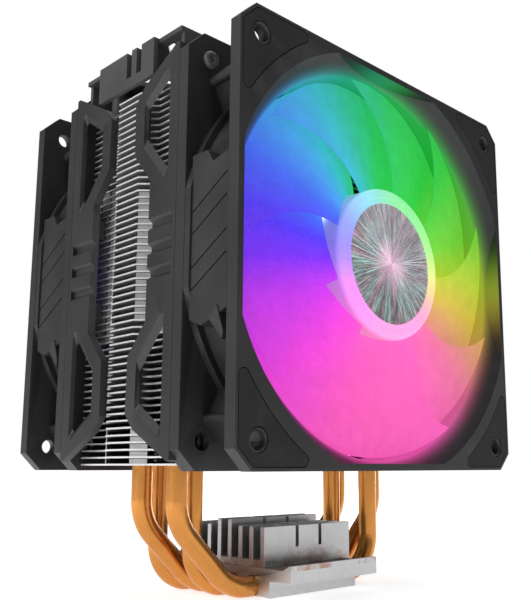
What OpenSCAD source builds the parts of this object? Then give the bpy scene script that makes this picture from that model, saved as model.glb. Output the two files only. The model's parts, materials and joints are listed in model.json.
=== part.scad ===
// Twin-fan tower cooler for a processor, millimetres.
// Origin: centre of the contact face under the base. X is the width, Z is up,
// and the intake side of the front fan faces -Y.

/* [Overall] */
// Side of the square fans
fan_size = 120; // [116:1:124]
// Depth of one fan
fan_depth = 25.4; // [24:0.1:27]
// Height of the fans' lower edge above the contact face
fan_lift = 36; // [32:1:44]
// Depth of the fin stack
stack_depth = 51; // [46:1:56]
// Gap between the fin stack and each fan
fan_gap = 1.9; // [1.6:0.1:3]

/* [Fin stack] */
// Number of fins
fin_count = 55; // [20:1:55]
// Distance from one fin to the next
fin_pitch = 2; // [1.6:0.1:2]
// Thickness of one fin
fin_thickness = 0.5; // [0.3:0.1:0.8]
// Half width of a fin across its middle
fin_reach = 58; // [56:0.5:58]
// Half width of a fin under the bracket wings
fin_waist = 54; // [52:0.5:54]

/* [Heat pipes] */
// Diameter of a pipe
pipe_d = 6; // [5:0.1:6]
// Distance between two pipes in the base
pipe_pitch = 8.35; // [7:0.05:9]
// Distance of the outer legs from the middle
outer_leg = 46.3; // [44:0.1:48]
// Distance of the inner legs from the middle
inner_leg = 34.3; // [32:0.1:36]

/* [Base] */
// Width of the base along X
base_w = 37.1; // [34:0.1:40]
// Length of the lower block along Y
base_len = 41; // [36:0.5:46]
// Length of the plate with the two ears along Y
ear_len = 58.8; // [54:0.2:64]
// Height of the lower block
block_h = 4.6; // [4:0.1:6]
// Height of the top of the ear plate
ear_top = 8.2; // [7:0.1:9]
// Number of fins on the base block
block_fins = 8; // [4:1:10]

/* [Fans] */
// Thickness of a fan flange
flange_t = 3.8; // [3:0.1:5]
// Radius of the air duct
duct_r = 57.5; // [56:0.1:58]
// Radius of the impeller hub
hub_r = 22.6; // [21:0.1:24]
// Number of blades
blade_count = 9; // [5:1:11]
// Distance of the screw holes from the fan's middle
screw_pitch = 52.5; // [52:0.1:53]
// Radius of a screw hole
screw_r = 2.15; // [2:0.05:2.4]

/* [Brackets] */
// Thickness of the side wings
wing_t = 2.4; // [2:0.1:2.6]
// Thickness of the wings round their windows
window_t = 1.2; // [0.8:0.1:1.6]

/* [Hidden] */
$fn = 64;
eps = 0.01;

black = "#26262a";
aluminium = "#b9bcc0";
copper = "#c9753d";
steel = "#8d9094";
frosted = "#d9dde6";

// Heights and places that follow from the sizes above
fan_half = fan_size / 2;
fan_mid_z = fan_lift + fan_half;
stack_half = stack_depth / 2;
fan_inner_y = stack_half + fan_gap;
overall_half = fan_inner_y + fan_depth;
fin_first_z = fan_lift + 1.45;
fin_top_z = fin_first_z + (fin_count - 1) * fin_pitch + fin_thickness;
pipe_r = pipe_d / 2;
pipe_base_z = pipe_r - 0.25;
fin_flat = 5.8;
corner_cut = 5.3;

// ---------------------------------------------------------------- heat sink

// Plan of the pipes: [distance along Y from the middle, left leg, right leg]
pipe_rows = [
    [-1.5 * pipe_pitch, outer_leg, inner_leg],
    [-0.5 * pipe_pitch, inner_leg, outer_leg],
    [0.5 * pipe_pitch, outer_leg, inner_leg],
    [1.5 * pipe_pitch, inner_leg, outer_leg]
];
pipe_end_z = fan_lift + 117.5;
outer_upper_r = 14;
outer_lower_r = 16;
outer_drop = 27.1;
outer_lower_cut = outer_lower_r * tan(22.5);
inner_bend_r = 12;
joint_lap = 0.3;
rod_r = pipe_r - 0.02;
fin_hole_r = pipe_r + 0.01;

module base_plate() {
    lip_rise = 1.4;
    lip_len = 2.5;
    color(aluminium)
    difference() {
        rotate([90, 0, 90])
        translate([0, 0, -base_w / 2])
        linear_extrude(base_w)
        polygon([
            [-base_len / 2, 0], [base_len / 2, 0], [base_len / 2, block_h],
            [ear_len / 2, block_h], [ear_len / 2, ear_top + lip_rise],
            [ear_len / 2 - 1.2, ear_top + lip_rise], [ear_len / 2 - 1.2 - lip_len, ear_top],
            [-ear_len / 2 + 1.2 + lip_len, ear_top], [-ear_len / 2 + 1.2, ear_top + lip_rise],
            [-ear_len / 2, ear_top + lip_rise], [-ear_len / 2, block_h],
            [-base_len / 2, block_h]
        ]);
        for (row = pipe_rows)
            translate([-base_w, row[0], pipe_base_z])
            rotate([0, 90, 0])
            cylinder(r = fin_hole_r, h = 2 * base_w);
    }
}

module base_fin_block() {
    floor_top = 10.3;
    fin_top = 19.7;
    tall_top = 21.4;
    fin_t = 1.75;
    fin_step = 4.9;
    slot_x = 5;
    slot_w = 1.3;
    slot_floor = 13.5;
    block_half = (block_fins - 1) * fin_step / 2 + fin_t / 2;
    tall_from = floor((block_fins - 2) / 2);
    color(aluminium)
    difference() {
        union() {
            translate([-base_w / 2, -block_half, ear_top])
            cube([base_w, 2 * block_half, floor_top - ear_top]);
            for (i = [0 : block_fins - 1]) {
                top = (i == tall_from || i == tall_from + 1) ? tall_top : fin_top;
                translate([-base_w / 2, i * fin_step - block_half, ear_top])
                cube([base_w, fin_t, top - ear_top]);
            }
        }
        for (x = [-slot_x, slot_x])
            translate([x - slot_w / 2, -block_half - 1, slot_floor])
            cube([slot_w, 2 * block_half + 2, 20]);
    }
}

// Quarter of a tube bend in the XZ plane: starts at the origin going down,
// turns through angle towards +X
module bend(radius, angle) {
    translate([radius, 0, 0])
    rotate([90, 0, 0])
    rotate([0, 0, 180])
    rotate_extrude(angle = angle, $fn = 96)
    translate([radius, 0])
    circle(r = pipe_r, $fn = 40);
}

// Straight tube of a length that starts at the origin; a hair thinner than the
// bends, and it reaches a little into what it joins at both ends
module rod(length) {
    translate([0, 0, -joint_lap])
    cylinder(r = rod_r, h = length + 2 * joint_lap, $fn = 40);
}

// Closed end of a pipe, drawn in to a small nib
module pipe_tip() {
    rotate_extrude($fn = 40)
    polygon([[0, 0], [pipe_r, 0], [pipe_r, 0.8], [2.5, 1.9], [1.3, 2.9], [0.9, 3.6], [0, 3.9]]);
}

// Leg with two 45 degree bends, on the side of -X
module outer_leg_shape(leg) {
    upper_cut = outer_upper_r * tan(22.5);
    top_z = pipe_base_z + leg - outer_drop + upper_cut;
    diagonal = (leg - outer_drop) * sqrt(2) - upper_cut - outer_lower_cut;
    translate([-leg, 0, top_z]) rod(pipe_end_z - top_z);
    translate([-leg, 0, pipe_end_z]) pipe_tip();
    translate([-leg, 0, top_z]) bend(outer_upper_r, 45);
    translate([-outer_drop - outer_lower_cut / sqrt(2), 0, pipe_base_z + outer_lower_cut / sqrt(2)])
    rotate([0, -45, 0])
    rod(diagonal);
    translate([-outer_drop + outer_lower_cut, 0, pipe_base_z])
    mirror([0, 0, 1])
    rotate([0, 90, 0])
    bend(outer_lower_r, 45);
}

// Leg with one quarter bend, on the side of -X
module inner_leg_shape(leg) {
    top_z = pipe_base_z + inner_bend_r;
    translate([-leg, 0, top_z]) rod(pipe_end_z - top_z);
    translate([-leg, 0, pipe_end_z]) pipe_tip();
    translate([-leg, 0, top_z]) bend(inner_bend_r, 90);
}

module heat_pipe(row) {
    left_is_outer = row[1] > row[2];
    flat_from = -outer_drop + outer_lower_cut;
    flat_to = inner_leg - inner_bend_r;
    color(copper)
    difference() {
        translate([0, row[0], 0])
        mirror([left_is_outer ? 0 : 1, 0, 0])
        union() {
            outer_leg_shape(outer_leg);
            mirror([1, 0, 0]) inner_leg_shape(inner_leg);
            translate([flat_from, 0, pipe_base_z]) rotate([0, 90, 0]) rod(flat_to - flat_from);
        }
        translate([-100, -100, -20]) cube([200, 200, 20]);
    }
}

module heat_pipe_1() { heat_pipe(pipe_rows[0]); }
module heat_pipe_2() { heat_pipe(pipe_rows[1]); }
module heat_pipe_3() { heat_pipe(pipe_rows[2]); }
module heat_pipe_4() { heat_pipe(pipe_rows[3]); }

// Right half of the outline of a fin, from the front edge to the back edge
fin_chamfer = fin_reach - fin_waist;
fin_edge_x = [48, 36, 24, 12, 0, -12, -24, -36, -48];
function notch(i) = (i % 2 == 0) ? 1.2 : 0;
fin_outline = concat(
    [[fin_waist, -stack_half], [fin_waist, -fin_flat - fin_chamfer], [fin_reach, -fin_flat],
     [fin_reach, fin_flat], [fin_waist, fin_flat + fin_chamfer], [fin_waist, stack_half]],
    [for (i = [0 : 8]) [fin_edge_x[i], stack_half - notch(i)]],
    [[-fin_waist, stack_half], [-fin_waist, fin_flat + fin_chamfer], [-fin_reach, fin_flat],
     [-fin_reach, -fin_flat], [-fin_waist, -fin_flat - fin_chamfer], [-fin_waist, -stack_half]],
    [for (i = [0 : 8]) [-fin_edge_x[i], -stack_half + notch(i)]]
);

module fin() {
    linear_extrude(fin_thickness)
    difference() {
        polygon(fin_outline);
        for (row = pipe_rows) {
            translate([-row[1], row[0]]) circle(r = fin_hole_r, $fn = 40);
            translate([row[2], row[0]]) circle(r = fin_hole_r, $fn = 40);
        }
    }
}

module fin_stack() {
    color(aluminium)
    for (i = [0 : fin_count - 1])
        translate([0, 0, fin_first_z + i * fin_pitch])
        fin();
}

cover_top = fan_lift + 123.7;

module top_cover() {
    plate_t = 1.4;
    wall_t = 1.5;
    plate_x = 58;
    plate_y = 25;
    wall_x = 56.9;
    wall_low = fan_lift + 114;
    skirt_half = 14.5;
    skirt_low = fan_lift + 112;
    skirt_top = cover_top - 0.2;
    slot_w = 2.5;
    slot_low = fan_lift + 115.2;
    slot_y = [-1.9, -6.95];
    vent_w = 3.2;
    vent_step = 7;
    foot_x = 49;
    foot_y = 20;
    color(black)
    difference() {
        union() {
            translate([-plate_x, -plate_y, cover_top - plate_t])
            cube([2 * plate_x, 2 * plate_y, plate_t]);
            for (s = [-1, 1]) {
                translate([-wall_x, s * (plate_y - wall_t / 2) - wall_t / 2, wall_low])
                cube([2 * wall_x, wall_t, cover_top - wall_low - eps]);
                translate([s * (fan_half - wall_t / 2) - wall_t / 2, -skirt_half, skirt_low])
                cube([wall_t, 2 * skirt_half, skirt_top - skirt_low]);
                translate([s * (fan_half - 2) - 2, -skirt_half, cover_top - 0.2 - plate_t])
                cube([4, 2 * skirt_half, plate_t]);
            }
            for (x = [-foot_x, foot_x], y = [-foot_y, foot_y])
                translate([x, y, fin_top_z])
                cylinder(r = 2.6, h = cover_top - fin_top_z - plate_t / 2, $fn = 40);
        }
        for (s = [-1, 1], y = slot_y)
            translate([s * fan_half - 2.6, y - slot_w / 2, slot_low])
            cube([5.2, slot_w, 20]);
        // Vents in the top plate: a row of slanted slots and an opening at each corner
        for (s = [-1, 1])
            for (i = [-4 : 4])
                translate([i * vent_step, s * 10.5, cover_top - 5])
                linear_extrude(10)
                polygon([[-vent_w / 2 - 2.6, -7.5 * s], [vent_w / 2 - 2.6, -7.5 * s],
                         [vent_w / 2 + 2.6, 7.5 * s], [-vent_w / 2 + 2.6, 7.5 * s]]);
        for (a = [-1, 1], b = [-1, 1])
            translate([0, 0, cover_top - 5])
            linear_extrude(10)
            polygon([[a * 39, b * 3], [a * 44, b * 3], [a * 55, b * 14.5], [a * 55, b * 17.2],
                     [a * 52.6, b * 17.2], [a * 39, b * 6.5]]);
    }
}

// -------------------------------------------------------------------- fans
// A fan is drawn with its axis along Z and its intake face at z = 0

module front_fan() {
    translate([0, -overall_half, fan_mid_z]) rotate([-90, 0, 0]) children();
}

module rear_fan() {
    translate([0, fan_inner_y, fan_mid_z]) rotate([-90, 0, 0]) children();
}

module four_sides() {
    for (a = [0 : 90 : 270]) rotate([0, 0, a]) children();
}

module four_corners() {
    for (a = [0 : 90 : 270]) rotate([0, 0, a]) translate([screw_pitch, screw_pitch, 0]) children();
}

// Square with its four corners cut
module flange_outline(half = fan_half, cut = corner_cut) {
    polygon([
        [half, half - cut], [half - cut, half], [-half + cut, half], [-half, half - cut],
        [-half, -half + cut], [-half + cut, -half], [half - cut, -half], [half, -half + cut]
    ]);
}

pad_depth = 1.2;
pad_inset = 1.1;
pad_arc_r = 66.8;
pad_gap = 0.25;

// Corner pad in the quadrant of +X and +Y; grow makes its recess
module pad_outline(grow = 0) {
    offset(r = 1.6 + grow, $fn = 32)
    offset(delta = -1.6)
    difference() {
        intersection() {
            flange_outline(fan_half - pad_inset, corner_cut - 0.5);
            translate([28, 28]) square(40);
        }
        circle(r = pad_arc_r, $fn = 128);
    }
}

barrel_wall = 2.1;
inner_hole_r = 2.4;
motor_r = 22.3;
motor_top = 16.6;
motor_floor = fan_depth - 1.5;
tube_r = 4.8;
tube_bore = 4.02;
tube_top = 5.2;

// One curved strut from the motor base to the duct
module strut() {
    bow_r = 48;
    start = [motor_r - 0.8, 0];
    finish = [(duct_r + 0.8) * cos(24), (duct_r + 0.8) * sin(24)];
    middle = (start + finish) / 2;
    chord = finish - start;
    half_chord = norm(chord) / 2;
    reach = sqrt(bow_r * bow_r - half_chord * half_chord);
    centre = middle + reach * [chord[1], -chord[0]] / norm(chord);
    from_centre = finish - centre;
    first = atan2(from_centre[1], from_centre[0]);
    sweep = 2 * asin(half_chord / bow_r);
    translate([centre[0], centre[1], fan_depth - 3.6])
    rotate([0, 0, first])
    rotate_extrude(angle = sweep, $fn = 128)
    translate([bow_r - 1.3, 0])
    square([2.6, 3.3]);
}

// Post between the two flanges, a rounded triangle pointing at the corner
module corner_post() {
    outer = [51.2, 46.7];
    rim_r = 1.4;
    linear_extrude(fan_depth - 2 * flange_t + 2 * eps)
    union() {
        translate(outer) circle(r = rim_r, $fn = 24);
        translate([outer[1], outer[0]]) circle(r = rim_r, $fn = 24);
        polygon([
            [outer[0] + rim_r * 0.707, outer[1] + rim_r * 0.707],
            [outer[1] + rim_r * 0.707, outer[0] + rim_r * 0.707],
            [outer[1] - rim_r * 0.9, outer[0] - rim_r * 0.4],
            [36, 46], [46, 36],
            [outer[0] - rim_r * 0.4, outer[1] - rim_r * 0.9]
        ]);
    }
}

// Flat panel on the side of the barrel with slanted grooves
panel_x = 59.3;
panel_half = 22;
panel_low = flange_t + 0.9;
panel_high = fan_depth - flange_t - 2.2;

module side_panel() {
    root_x = 48;
    translate([root_x, 0, 0])
    rotate([90, 0, 90])
    linear_extrude(panel_x - root_x)
    polygon([
        [panel_half - 2.2, panel_low], [panel_half - 3.6, panel_low + 6.2],
        [panel_half, panel_low + 8.4], [panel_half, panel_high], [-panel_half, panel_high],
        [-panel_half - 2, panel_low + 10], [-panel_half, panel_low + 4],
        [-panel_half + 1.5, panel_low]
    ]);
    // Gusset that runs from the panel's lower end towards the flange
    translate([root_x, 0, 0])
    rotate([90, 0, 90])
    linear_extrude(panel_x + 0.3 - root_x)
    polygon([
        [-panel_half + 2.5, panel_low + 3.5], [-panel_half - 0.3, panel_low + 6.8],
        [-panel_half - 6.4, panel_low + 1.1], [-panel_half - 4.4, panel_low + 0.8]
    ]);
}

module side_panel_grooves() {
    groove_w = 0.45;
    groove_len = 16;
    groove_deep = 0.5;
    groove_tilt = 30;
    groove_y = [-10.4, -4.5, 4.5, 10.4];
    for (y = groove_y)
        translate([panel_x - groove_deep, y, (panel_low + panel_high) / 2])
        rotate([groove_tilt, 0, 0])
        translate([0, -groove_w / 2, -groove_len / 2])
        cube([2, groove_w, groove_len]);
}

// inner_z is the depth at which the wider holes of the bracket's flange start
module fan_frame(inner_z) {
    mouth_r = 62.5;
    mouth_depth = 6;
    mouth_side = fan_half - 1.9;
    lip_r = 61.4;
    color(black) {
        difference() {
            union() {
                linear_extrude(flange_t) flange_outline();
                translate([0, 0, fan_depth - flange_t]) linear_extrude(flange_t) flange_outline();
                intersection() {
                    translate([0, 0, flange_t - eps])
                    cylinder(r = duct_r + barrel_wall, h = fan_depth - 2 * flange_t + 2 * eps, $fn = 128);
                    translate([-panel_x, -panel_x, 0]) cube([2 * panel_x, 2 * panel_x, fan_depth]);
                }
                intersection() {
                    translate([0, 0, fan_depth - flange_t - 2.4])
                    cylinder(r = lip_r, h = 2.5, $fn = 128);
                    translate([-fan_half + 0.1, -fan_half + 0.1, 0])
                    cube([fan_size - 0.2, fan_size - 0.2, fan_depth]);
                }
                four_sides() side_panel();
                translate([0, 0, flange_t - eps]) four_sides() corner_post();
            }
            translate([0, 0, -1]) cylinder(r = duct_r, h = fan_depth + 2, $fn = 128);
            intersection() {
                translate([0, 0, -eps])
                cylinder(r1 = mouth_r, r2 = duct_r - 0.02, h = mouth_depth, $fn = 128);
                translate([-mouth_side, -mouth_side, -1])
                cube([2 * mouth_side, 2 * mouth_side, mouth_depth + 2]);
            }
            four_sides() side_panel_grooves();
            four_corners() {
                translate([0, 0, -1]) cylinder(r = screw_r, h = fan_depth + 2, $fn = 40);
                translate([0, 0, inner_z]) cylinder(r = inner_hole_r, h = flange_t + 2, $fn = 40);
            }
            four_sides() {
                translate([0, 0, -eps]) linear_extrude(pad_depth + eps) pad_outline(pad_gap);
                translate([0, 0, fan_depth - pad_depth]) linear_extrude(pad_depth + eps) pad_outline(pad_gap);
            }
        }
        four_sides() rotate([0, 0, 20]) strut();
        difference() {
            translate([0, 0, motor_top]) cylinder(r = motor_r, h = fan_depth - motor_top - 0.2, $fn = 96);
            translate([0, 0, motor_top - 1])
            cylinder(r = motor_r - 0.8, h = motor_floor - motor_top + 1, $fn = 96);
        }
        difference() {
            translate([0, 0, tube_top]) cylinder(r = tube_r, h = motor_floor - tube_top + eps, $fn = 48);
            translate([0, 0, tube_top - 1]) cylinder(r = tube_bore, h = motor_floor - tube_top + 1, $fn = 48);
        }
    }
}

module corner_pads(z) {
    pad_hole_r = 3.2;
    color("#1c1c1f")
    four_sides()
    translate([0, 0, z])
    difference() {
        linear_extrude(pad_depth - 0.05) pad_outline();
        translate([screw_pitch, screw_pitch, -1]) cylinder(r = pad_hole_r, h = 4, $fn = 40);
    }
}

module intake_pads() { corner_pads(0.05); }
module exhaust_pads() { corner_pads(fan_depth - pad_depth); }

core_low = 6.4;
core_high = 12.4;
arm_w = 3.2;

module stator_core() {
    core_r = 17.5;
    shoe_r = 14.2;
    shoe_gap = 2.2;
    color(steel)
    translate([0, 0, core_low])
    linear_extrude(core_high - core_low)
    union() {
        difference() {
            circle(r = 7, $fn = 48);
            circle(r = tube_r + 0.03, $fn = 48);
        }
        for (a = [0, 90, 180, 270])
            rotate(a)
            translate([6, -arm_w / 2])
            square([shoe_r - 5.5, arm_w]);
        difference() {
            circle(r = core_r, $fn = 96);
            circle(r = shoe_r, $fn = 96);
            for (a = [45, 135])
                rotate(a)
                square([2 * core_r + 2, shoe_gap], center = true);
        }
    }
}

module stator_coils() {
    coil_in = 7.4;
    coil_out = 13.7;
    wrap = 1.8;
    clear = 0.05;
    color(copper)
    for (a = [0, 90, 180, 270])
        rotate([0, 0, a])
        difference() {
            translate([coil_in, -arm_w / 2 - wrap, core_low - wrap])
            cube([coil_out - coil_in, arm_w + 2 * wrap, core_high - core_low + 2 * wrap]);
            translate([coil_in - 1, -arm_w / 2 - clear, core_low - clear])
            cube([coil_out - coil_in + 2, arm_w + 2 * clear, core_high - core_low + 2 * clear]);
        }
}

board_low = 18;
board_r = motor_r - 1;

module circuit_board() {
    chip = [4.2, 3.2, 1.1];
    color("#1f5a3a")
    difference() {
        union() {
            translate([0, 0, board_low]) cylinder(r = board_r, h = 1.2, $fn = 96);
            for (a = [30, 150, 250])
                rotate([0, 0, a])
                translate([10, -chip[1] / 2, board_low - chip[2]])
                cube([chip[0], chip[1], chip[2] + eps]);
        }
        translate([0, 0, board_low - 1]) cylinder(r = tube_r + 0.4, h = 4, $fn = 48);
    }
}

module leds() {
    led_count = 8;
    led = [2.2, 2.6, 1.25];
    led_ring_r = 19.7;
    color("white")
    for (i = [0 : led_count - 1])
        rotate([0, 0, (i + 0.5) * 360 / led_count])
        translate([led_ring_r - led[0] / 2, -led[1] / 2, board_low - led[2]])
        cube(led);
}

shaft_r = 1.5;
shaft_low = 2.65;
shaft_high = 22.3;
sleeve_low = 5.4;
sleeve_high = 20.6;
clip_z = 20.9;
clip_t = 0.5;

module bearing_sleeve() {
    color("#b08d4a")
    difference() {
        translate([0, 0, sleeve_low])
        cylinder(r = tube_bore - 0.02, h = sleeve_high - sleeve_low, $fn = 48);
        translate([0, 0, sleeve_low - 1])
        cylinder(r = shaft_r + 0.03, h = sleeve_high - sleeve_low + 2, $fn = 40);
    }
}

module bearing_cap() {
    color("#e8e8e4")
    translate([0, 0, shaft_high + 0.3])
    cylinder(r = tube_bore - 0.05, h = motor_floor - shaft_high - 0.3, $fn = 48);
}

hub_front = 0.2;
hub_back = 15.8;
hub_wall = 2.6;
recess_r = 19.5;
recess_floor = 1.3;
hub_floor = 2.6;

// Blade surface: s runs from the hub (0) to the tip (1), c along the chord (0 to 1)
blade_root = hub_r - 0.4;
blade_tip = duct_r - 1.1;
blade_steps = 7;
chord_steps = 8;
blade_t = 1.4;
blade_sweep = 70;
function blade_r(s) = blade_root + (blade_tip - blade_root) * s;
function blade_angle(s, c) = -24 * pow(s, 1.5) + (blade_sweep - 2 * s) * c;
function blade_z(s, c) = 2.7 + 1.2 * s + (12.2 - 1.6 * s) * pow(c, 1.12);
function blade_half(c) = blade_t / 2 * (0.4 + 0.6 * sin(180 * c));
function blade_point(s, c, side) = [
    blade_r(s) * cos(blade_angle(s, c)),
    blade_r(s) * sin(blade_angle(s, c)),
    blade_z(s, c) + side * blade_half(c)
];
blade_cols = chord_steps + 1;
blade_layer = (blade_steps + 1) * blade_cols;
blade_points = [
    for (side = [-1, 1], i = [0 : blade_steps], j = [0 : chord_steps])
        blade_point(i / blade_steps, j / chord_steps, side)
];
function grid(layer, i, j) = layer * blade_layer + i * blade_cols + j;
blade_faces = concat(
    [for (i = [0 : blade_steps - 1], j = [0 : chord_steps - 1], k = [0, 1])
        k == 0 ? [grid(0, i, j), grid(0, i, j + 1), grid(0, i + 1, j + 1)]
               : [grid(0, i, j), grid(0, i + 1, j + 1), grid(0, i + 1, j)]],
    [for (i = [0 : blade_steps - 1], j = [0 : chord_steps - 1], k = [0, 1])
        k == 0 ? [grid(1, i, j), grid(1, i + 1, j + 1), grid(1, i, j + 1)]
               : [grid(1, i, j), grid(1, i + 1, j), grid(1, i + 1, j + 1)]],
    [for (i = [0 : blade_steps - 1], k = [0, 1])
        k == 0 ? [grid(0, i, 0), grid(0, i + 1, 0), grid(1, i + 1, 0)]
               : [grid(0, i, 0), grid(1, i + 1, 0), grid(1, i, 0)]],
    [for (i = [0 : blade_steps - 1], k = [0, 1])
        k == 0 ? [grid(0, i, chord_steps), grid(1, i + 1, chord_steps), grid(0, i + 1, chord_steps)]
               : [grid(0, i, chord_steps), grid(1, i, chord_steps), grid(1, i + 1, chord_steps)]],
    [for (j = [0 : chord_steps - 1], k = [0, 1])
        k == 0 ? [grid(0, 0, j), grid(1, 0, j + 1), grid(0, 0, j + 1)]
               : [grid(0, 0, j), grid(1, 0, j), grid(1, 0, j + 1)]],
    [for (j = [0 : chord_steps - 1], k = [0, 1])
        k == 0 ? [grid(0, blade_steps, j), grid(0, blade_steps, j + 1), grid(1, blade_steps, j + 1)]
               : [grid(0, blade_steps, j), grid(1, blade_steps, j + 1), grid(1, blade_steps, j)]]
);

module impeller() {
    round_r = 1.5;
    color(frosted) {
        rotate_extrude($fn = 96)
        union() {
            translate([hub_r - round_r, hub_front + round_r]) circle(r = round_r, $fn = 32);
            translate([hub_r - hub_wall, hub_front + round_r])
            square([hub_wall, hub_back - hub_front - round_r]);
            translate([recess_r, hub_front]) square([hub_r - round_r - recess_r, hub_floor - hub_front]);
            translate([0, recess_floor]) square([recess_r + 0.1, hub_floor - recess_floor]);
        }
        for (i = [0 : blade_count - 1])
            rotate([0, 0, i * 360 / blade_count])
            polyhedron(points = blade_points, faces = [for (f = blade_faces) [f[2], f[1], f[0]]], convexity = 4);
    }
}

module hub_medallion() {
    color("#c7b6c9")
    translate([0, 0, recess_floor - 0.8])
    cylinder(r = recess_r - 0.15, h = 0.8, $fn = 96);
}

cup_r = hub_r - hub_wall - 0.05;
cup_wall = 0.75;
cup_back = 15.2;

module rotor_cup() {
    disc_back = 3.5;
    boss_back = 4.9;
    color(steel)
    difference() {
        rotate_extrude($fn = 96)
        union() {
            translate([cup_r - cup_wall, hub_floor]) square([cup_wall, cup_back - hub_floor]);
            translate([0, hub_floor]) square([cup_r - 0.1, disc_back - hub_floor]);
            translate([0, hub_floor]) square([3.4, boss_back - hub_floor]);
        }
        translate([0, 0, -5]) cylinder(r = shaft_r + 0.01, h = 20, $fn = 40);
    }
}

module rotor_magnet() {
    magnet_t = 0.9;
    color("#3a3836")
    translate([0, 0, 5])
    difference() {
        cylinder(r = cup_r - cup_wall - 0.02, h = 9.8, $fn = 96);
        translate([0, 0, -1]) cylinder(r = cup_r - cup_wall - 0.02 - magnet_t, h = 12, $fn = 96);
    }
}

clip_bore = 1.15;

module shaft() {
    color(steel)
    difference() {
        translate([0, 0, shaft_low]) cylinder(r = shaft_r, h = shaft_high - shaft_low, $fn = 40);
        translate([0, 0, clip_z - 0.05])
        difference() {
            cylinder(r = 3, h = clip_t + 0.1, $fn = 40);
            translate([0, 0, -1]) cylinder(r = clip_bore - 0.02, h = 3, $fn = 40);
        }
    }
}

module shaft_clip() {
    color("#f0f0ea")
    translate([0, 0, clip_z])
    difference() {
        cylinder(r = 2.8, h = clip_t, $fn = 40);
        translate([0, 0, -1]) cylinder(r = clip_bore, h = 3, $fn = 40);
        translate([0, -0.5, -1]) cube([4, 1, 3]);
    }
}

// ---------------------------------------------------------------- brackets
// A bracket is drawn for the front fan; the rear one is its mirror image

plate_near = -fan_inner_y + 0.15;
plate_far = -stack_half - 0.3;
wing_x = fan_half - wing_t;

// Upper half of a wing's outline, as [y, height above the fan's middle]
wing_half = [[plate_near, 57.2], [plate_near + 1.3, 57.4], [-10.5, 49.1], [-6.5, 44.7], [-6.8, 29], [-14.8, 20]];
wing_outline = concat(wing_half, [for (i = [len(wing_half) - 1 : -1 : 0]) [wing_half[i][0], -wing_half[i][1]]]);

// Window in a wing: its outline in the outer face and where its slanted walls end
window_outer = [[-23.2, 52], [-11.05, 44], [-11.1, 30.5], [-23.2, 17.2]];
window_inner = [[-22.8, 49.3], [-11.8, 42.4], [-11.3, 33.4], [-22.8, 20.6]];

module window_slice(x, thickness, outline, grow = 0) {
    corner_r = 1;
    translate([x, 0, 0])
    rotate([90, 0, 90])
    linear_extrude(thickness)
    offset(r = corner_r + grow, $fn = 24)
    offset(delta = -corner_r)
    polygon(outline);
}

module window_cut() {
    hull() {
        window_slice(fan_half, 0.1, window_outer);
        window_slice(fan_half - window_t, 0.01, window_inner);
    }
    window_slice(wing_x - 1, 1 + wing_t - window_t, window_outer, 0.4);
}

module wing() {
    groove_w = 3;
    groove_deep = 1.3;
    groove_step = 7;
    rail_x = fin_waist + 0.4;
    difference() {
        union() {
            translate([wing_x, 0, 0])
            rotate([90, 0, 90])
            linear_extrude(wing_t)
            polygon(wing_outline);
            for (z = [-13, 13])
                translate([rail_x, -19, z - 3])
                cube([wing_x - rail_x + eps, 2, 6]);
        }
        window_cut();
        mirror([0, 0, 1]) window_cut();
        for (i = [-1 : 1])
            translate([0, plate_near + 1.2, i * groove_step])
            rotate([-90, 0, 0])
            linear_extrude(20)
            polygon([
                [fan_half - groove_deep, -groove_w / 2 + 0.8], [fan_half + 1, -groove_w / 2 - 0.8],
                [fan_half + 1, groove_w / 2 + 0.8], [fan_half - groove_deep, groove_w / 2 - 0.8]
            ]);
    }
}

pin_hole_r = 1.65;

module bracket() {
    opening_r = 56.5;
    open_hole_r = 2.7;
    color(black)
    translate([0, 0, fan_mid_z])
    difference() {
        union() {
            translate([0, plate_far, 0])
            rotate([90, 0, 0])
            linear_extrude(plate_far - plate_near)
            difference() {
                flange_outline();
                circle(r = opening_r, $fn = 128);
            }
            for (s = [0, 1]) mirror([s, 0, 0]) wing();
        }
        for (x = [-screw_pitch, screw_pitch], s = [-1, 1])
            translate([x, plate_far + 1, s * screw_pitch])
            rotate([90, 0, 0])
            cylinder(r = s > 0 ? pin_hole_r : open_hole_r, h = 6, $fn = 40);
    }
}

module bracket_pins() {
    head_r = 2.6;
    head_t = 1.5;
    shank_r = 1.9;
    flange_face = -fan_inner_y - flange_t;
    color(steel)
    for (x = [-screw_pitch, screw_pitch])
        translate([x, 0, fan_mid_z + screw_pitch])
        rotate([-90, 0, 0]) {
            translate([0, 0, flange_face - head_t]) cylinder(r = head_r, h = head_t, $fn = 40);
            translate([0, 0, flange_face - eps])
            cylinder(r = shank_r, h = flange_t - 0.1, $fn = 40);
            translate([0, 0, flange_face])
            cylinder(r = pin_hole_r - 0.1, h = plate_far - flange_face - 0.1, $fn = 40);
        }
}

// The rear fan blows the same way, so its bracket holds its intake flange
module front_bracket() { bracket(); }
module front_bracket_pins() { bracket_pins(); }
module rear_bracket() { mirror([0, 1, 0]) bracket(); }
module rear_bracket_pins() { mirror([0, 1, 0]) bracket_pins(); }

module front_fan_frame() { front_fan() fan_frame(fan_depth - flange_t - 1); }
module front_intake_pads() { front_fan() intake_pads(); }
module front_exhaust_pads() { front_fan() exhaust_pads(); }
module front_stator_core() { front_fan() stator_core(); }
module front_stator_coils() { front_fan() stator_coils(); }
module front_circuit_board() { front_fan() circuit_board(); }
module front_leds() { front_fan() leds(); }
module front_bearing_sleeve() { front_fan() bearing_sleeve(); }
module front_bearing_cap() { front_fan() bearing_cap(); }
module front_impeller() { front_fan() impeller(); }
module front_hub_medallion() { front_fan() hub_medallion(); }
module front_rotor_cup() { front_fan() rotor_cup(); }
module front_rotor_magnet() { front_fan() rotor_magnet(); }
module front_shaft() { front_fan() shaft(); }
module front_shaft_clip() { front_fan() shaft_clip(); }

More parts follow.
